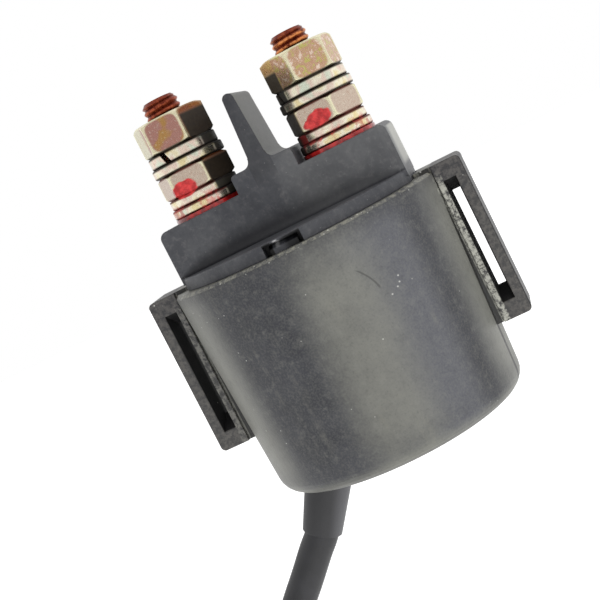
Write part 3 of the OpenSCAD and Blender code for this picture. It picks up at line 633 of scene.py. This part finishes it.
def carve(piece, other):
    """Boolean difference of piece and the other, which goes."""
    modifier = piece.modifiers.new("carve", "BOOLEAN")
    modifier.operation, modifier.object, modifier.solver = "DIFFERENCE", other, "EXACT"
    apply_modifiers(piece)
    bpy.data.objects.remove(other)


def smooth(piece, degrees):
    """Smooth shading across edges that turn by less than that angle."""
    make_active(piece)
    bpy.ops.object.shade_smooth_by_angle(angle=math.radians(degrees))


def finish_piece(piece, body, slot_name, material, *nodes):
    """Dresses a new piece, puts it on its body and hides the CAD nodes that it stands for."""
    piece.data.materials.clear()
    piece.data.materials.append(material)
    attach(piece, body)
    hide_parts(*nodes)


def dress(material, *names):
    """Gives the CAD nodes of those names the material."""
    for name in names:
        slots = NODES[name].data.materials
        slots.clear()
        slots.append(material)


# Part: lead.
SLEEVE_R = 2.8 * MM
LEAD_ROUTE_MM = [
    (-15.43, 0, -26.32), (-19.79, 0, -33.03), (-22.5, 0, -35.8), (-25.8, 0, -39.3),
    (-29.3, 0, -42.9), (-32.7, 0, -46.8), (-35.6, 0, -51.2), (-38.1, 0, -56.2), (-40.1, 0, -62.2),
    (-41.5, 0, -69.2), (-42.3, 0, -77), (-42.7, 0, -86), (-42.8, 0, -95), (-42.8, 0, -105),
]


def make_lead(material):
    """The sleeve as a smooth curve through the CAD route's points."""
    data = bpy.data.curves.new("lead_sleeve_smooth", "CURVE")
    data.dimensions = "3D"
    data.bevel_depth = SLEEVE_R
    data.bevel_resolution = 6
    data.resolution_u = 8
    data.use_fill_caps = True
    line = data.splines.new("BEZIER")
    line.bezier_points.add(len(LEAD_ROUTE_MM) - 1)
    for point, place in zip(line.bezier_points, LEAD_ROUTE_MM):
        point.co = Vector(place) * MM
        point.handle_left_type = point.handle_right_type = "AUTO"
    sleeve = bpy.data.objects.new("lead_sleeve_smooth", data)
    bpy.context.scene.collection.objects.link(sleeve)
    finish_piece(sleeve, "relay", "sleeve_vinyl", material, "lead_sleeve")


make_lead(plain_moulding("sleeve_vinyl", tone(36, 36, 39), tone(28, 28, 30), 0.42))


# Part: studs.
STUD_R = 3.0 * MM
STUD_SIDES = 48  # flats that make up a round
STUD_CHAMFER = 0.7 * MM
HEAD_HEIGHT = 2.4 * MM  # of the contact head; the core starts at its top
CUT_HEIGHT = 0.66 * MM  # of the slanting cut round the tip of the core
CUT_TOP_R = 2.0 * MM
CUT_RING_R = 3.4 * MM  # the outside of the ring that makes the cut
THREAD_PITCH = 1.0 * MM
THREAD_DEPTH = 0.34 * MM
THREAD_STEPS = 10  # parts of the profile of one pitch
THREAD_SIDES = 32
THREAD_END = 0.05 * MM  # how far below the stud's tip the thread ends
CORE_R = STUD_R - THREAD_DEPTH


def make_cylinder(radius, height, middle):
    deselect()
    bpy.ops.mesh.primitive_cylinder_add(
        vertices=STUD_SIDES, radius=radius, depth=height, location=middle)
    piece = bpy.context.object
    apply_place(piece)
    return piece


def make_core(centre_x, low_z, high_z):
    """The plain shank, and a tip whose edge is cut off by a ring."""
    core = make_cylinder(CORE_R, high_z - low_z, (centre_x, 0, (low_z + high_z) / 2))
    middle = (centre_x, 0, high_z - CUT_HEIGHT / 2)
    deselect()
    bpy.ops.mesh.primitive_cone_add(
        vertices=STUD_SIDES, radius1=CORE_R + 0.01 * MM, radius2=CUT_TOP_R, depth=CUT_HEIGHT,
        location=middle)
    tip = bpy.context.object
    apply_place(tip)
    ring = make_cylinder(CUT_RING_R, CUT_HEIGHT, middle)
    carve(ring, tip)
    carve(core, ring)
    return core


def make_thread(centre_x, low_z, high_z):
    """One pitch of the thread's profile, screwed upwards, its end drawn in to a chamfer."""
    turns = int((high_z - low_z) / THREAD_PITCH)
    profile = []
    for i in range(THREAD_STEPS + 1):
        wave = (1 - math.cos(2 * math.pi * i / THREAD_STEPS)) / 2
        profile.append((CORE_R + THREAD_DEPTH * wave ** 0.8, 0, THREAD_PITCH * i / THREAD_STEPS))
    mesh = bpy.data.meshes.new("thread")
    mesh.from_pydata(profile, [(i, i + 1) for i in range(THREAD_STEPS)], [])
    thread = bpy.data.objects.new("thread", mesh)
    bpy.context.scene.collection.objects.link(thread)
    screw = thread.modifiers.new("screw", "SCREW")
    screw.angle, screw.screw_offset, screw.iterations = 2 * math.pi, THREAD_PITCH, turns
    screw.steps = screw.render_steps = THREAD_SIDES
    screw.use_merge_vertices = True
    apply_modifiers(thread)
    # The last turn runs 0.4 of a pitch past the tip and is pushed down to it.
    thread.location = (centre_x, 0, high_z - (turns + 0.6) * THREAD_PITCH)
    apply_place(thread)
    for vertex in thread.data.vertices:
        out = Vector((vertex.co.x - centre_x, vertex.co.y, 0))
        room = max(CORE_R * 0.9, STUD_R - max(0, vertex.co.z - (high_z - STUD_CHAMFER)))
        if out.length > room:
            out *= room / out.length
            vertex.co.x, vertex.co.y = centre_x + out.x, out.y
        vertex.co.z = min(vertex.co.z, high_z - THREAD_END)
    return thread


def make_stud(side, material):
    """A stud with a real thread, from the paint on the cover up to its tip.

    Its contact head, hidden inside the cover, isn't drawn.
    """
    low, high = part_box(f"terminal_stud_{side}")
    centre_x = (low[0] + high[0]) / 2
    core = make_core(centre_x, low[2] + HEAD_HEIGHT, high[2])
    thread = make_thread(centre_x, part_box("stud_sealant")[0][2], high[2])
    make_active(core)
    thread.select_set(True)
    bpy.ops.object.join()
    core.name = core.data.name = f"threaded_stud_{side}"
    smooth(core, 35)
    finish_piece(core, "relay", "stud_copper", material, f"terminal_stud_{side}")


copper = stud_copper()
make_stud("left", copper)
make_stud("right", copper)

# Part: finishes on CAD nodes.
rubber = boot_rubber()
plastic = cover_plastic()
# Heights of the joints in the lower and the upper stacks: flat washer, spring washer, nut.
LOWER_SEAMS = [23.2, 24.7, 26.3]
UPPER_SEAMS = [30.2, 31.8, 33.7]
UPPER_NUT_TOP = 38.9
# Painted shade in the joints: dark, and dark red where the lower stacks' paint lies in them.
DARK_GAP_SHADE, RED_PAINT_GAP_SHADE = tone(34, 22, 16), tone(84, 14, 12)
# How far from the left and the right stud's axis the painted shade begins.
UPPER_SHADE_FROM, LOWER_SHADE_FROM, NUT_SHADE_FROM = (4.1, 3.5), (3.1, 3.5), (2.9, 3.5)
# Paint was dropped on the front of both lower nuts: centre and radius of each drop.
PAINT_DROPS = [(-12.9, -5.2, 27.1, 1.75), (10.9, -5.2, 27.6, 1.6), (9.6, -4.8, 27.2, 1.2)]
UPPER_NUTS = NutLook(
    corners=(-62, -100), ends=(UPPER_SEAMS[2], UPPER_NUT_TOP), shade_to=(37.9, 36.9),
    colour=tone(166, 122, 112), mottled=True)
LOWER_NUTS = NutLook(
    corners=(-60, -70), ends=(LOWER_SEAMS[2], UPPER_SEAMS[0]), shade_to=(29.8, 30.8),
    colour=tone(192, 174, 158), mottled=False)
zinc = yellow_zinc("zinc_washers", UPPER_SEAMS, DARK_GAP_SHADE, UPPER_SHADE_FROM)
nut_zinc = yellow_zinc("zinc_upper_nuts", UPPER_SEAMS[2:], DARK_GAP_SHADE, NUT_SHADE_FROM, UPPER_NUTS)
low_zinc = yellow_zinc(
    "zinc_lower_washers", LOWER_SEAMS, RED_PAINT_GAP_SHADE, LOWER_SHADE_FROM, drops=PAINT_DROPS)
low_nut_zinc = yellow_zinc(
    "zinc_lower_nuts", LOWER_NUTS.ends, RED_PAINT_GAP_SHADE, NUT_SHADE_FROM, LOWER_NUTS, PAINT_DROPS)
iron = plain_metal("soft_iron", tone(170, 170, 172), 0.3)
spring_steel = plain_metal("spring_steel", tone(150, 150, 152), 0.25)
nylon = plain_moulding("natural_nylon", tone(222, 218, 204), tone(208, 202, 186), 0.4)
winding = plain_metal("winding_copper", tone(176, 92, 58), 0.35, 0.2)
bar_copper = plain_metal("contact_copper", tone(210, 130, 92), 0.25)

dress(rubber, "rubber_boot")
dress(grommet_rubber(), "lead_grommet")
dress(plain_moulding("seal_rubber", tone(40), tone(30), 0.6), "cover_seal")
dress(plastic, "case", "terminal_cover")
dress(seal_paint(), "stud_sealant")
dress(low_zinc, "lower_flat_washers", "lower_spring_washers")
dress(low_nut_zinc, "lower_nuts")
for side in ("left", "right"):
    dress(zinc, f"upper_flat_washer_{side}", f"upper_spring_washer_{side}")
    dress(nut_zinc, f"terminal_nut_{side}")
dress(iron, "yoke", "pole_plate", "fixed_core", "plunger", "push_rod")
dress(spring_steel, "return_spring", "contact_spring", "retaining_clip")
dress(nylon, "bobbin", "insulating_bush", "connector_housing")
dress(winding, "coil_winding", "coil_leads")
dress(bar_copper, "contact_bridge")
dress(plain_metal("contact_silver", tone(222), 0.2), "contact_buttons")
dress(plain_moulding("wire_vinyl", tone(38), tone(28), 0.35), "lead_wires")
dress(plain_metal("terminal_brass", tone(206, 184, 120), 0.25), "connector_terminals")


# Part: stage and light.
STAGE_Z = -170 * MM  # well under the hanging lead
STAGE_SIZE = 6  # metres
WHITE = (1, 1, 1, 1)


def make_world():
    """A white studio that is dimmer on the side of the camera; the backdrop itself stays white."""
    world = bpy.data.worlds.new("studio")
    bpy.context.scene.world = world
    world.use_nodes = True
    tree = world.node_tree
    way = tree.nodes.new("ShaderNodeTexCoord")
    axes = tree.nodes.new("ShaderNodeSeparateXYZ")
    tree.links.new(way.outputs["Generated"], axes.inputs[0])
    front = Shade(tree, axes.outputs["Y"]).over(0.1, -0.8)
    low = Shade(tree, axes.outputs["Z"]).over(0.1, -0.6)
    seen = Shade(tree, tree.nodes.new("ShaderNodeLightPath").outputs["Is Camera Ray"])
    strength = (1.0 - front * 0.3 - low * 0.2).maximum(seen)
    background = tree.nodes["Background"]
    tree.links.new(strength.socket, background.inputs["Strength"])
    background.inputs["Color"].default_value = WHITE


def make_stage():
    """A pale floor in a plain white studio."""
    deselect()
    bpy.ops.mesh.primitive_plane_add(size=STAGE_SIZE, location=(0, 0, STAGE_Z))
    floor = bpy.context.object
    floor.name = "floor"
    f = Finish("studio_floor")
    f.set(Base_Color=(0.9, 0.9, 0.9, 1), Roughness=0.9, Emission_Color=WHITE,
          Emission_Strength=0.5)
    floor.data.materials.append(f.material)
    make_world()
    bpy.context.scene.view_settings.view_transform = "Standard"


def softbox(name, place_mm, aim_mm, size_mm, power):
    """A square area light of that power in watts, which doesn't show in reflections."""
    data = bpy.data.lights.new(name, "AREA")
    data.size, data.energy = size_mm * MM, power
    light = bpy.data.objects.new(name, data)
    bpy.context.scene.collection.objects.link(light)
    place, aim = Vector(place_mm) * MM, Vector(aim_mm) * MM
    light.location = place
    light.rotation_mode = "QUATERNION"
    light.rotation_quaternion = (aim - place).to_track_quat("-Z", "Y")
    light.visible_glossy = False


make_stage()
softbox("key", (196, -340, 110), (0, 0, 0), 360, 0.85)
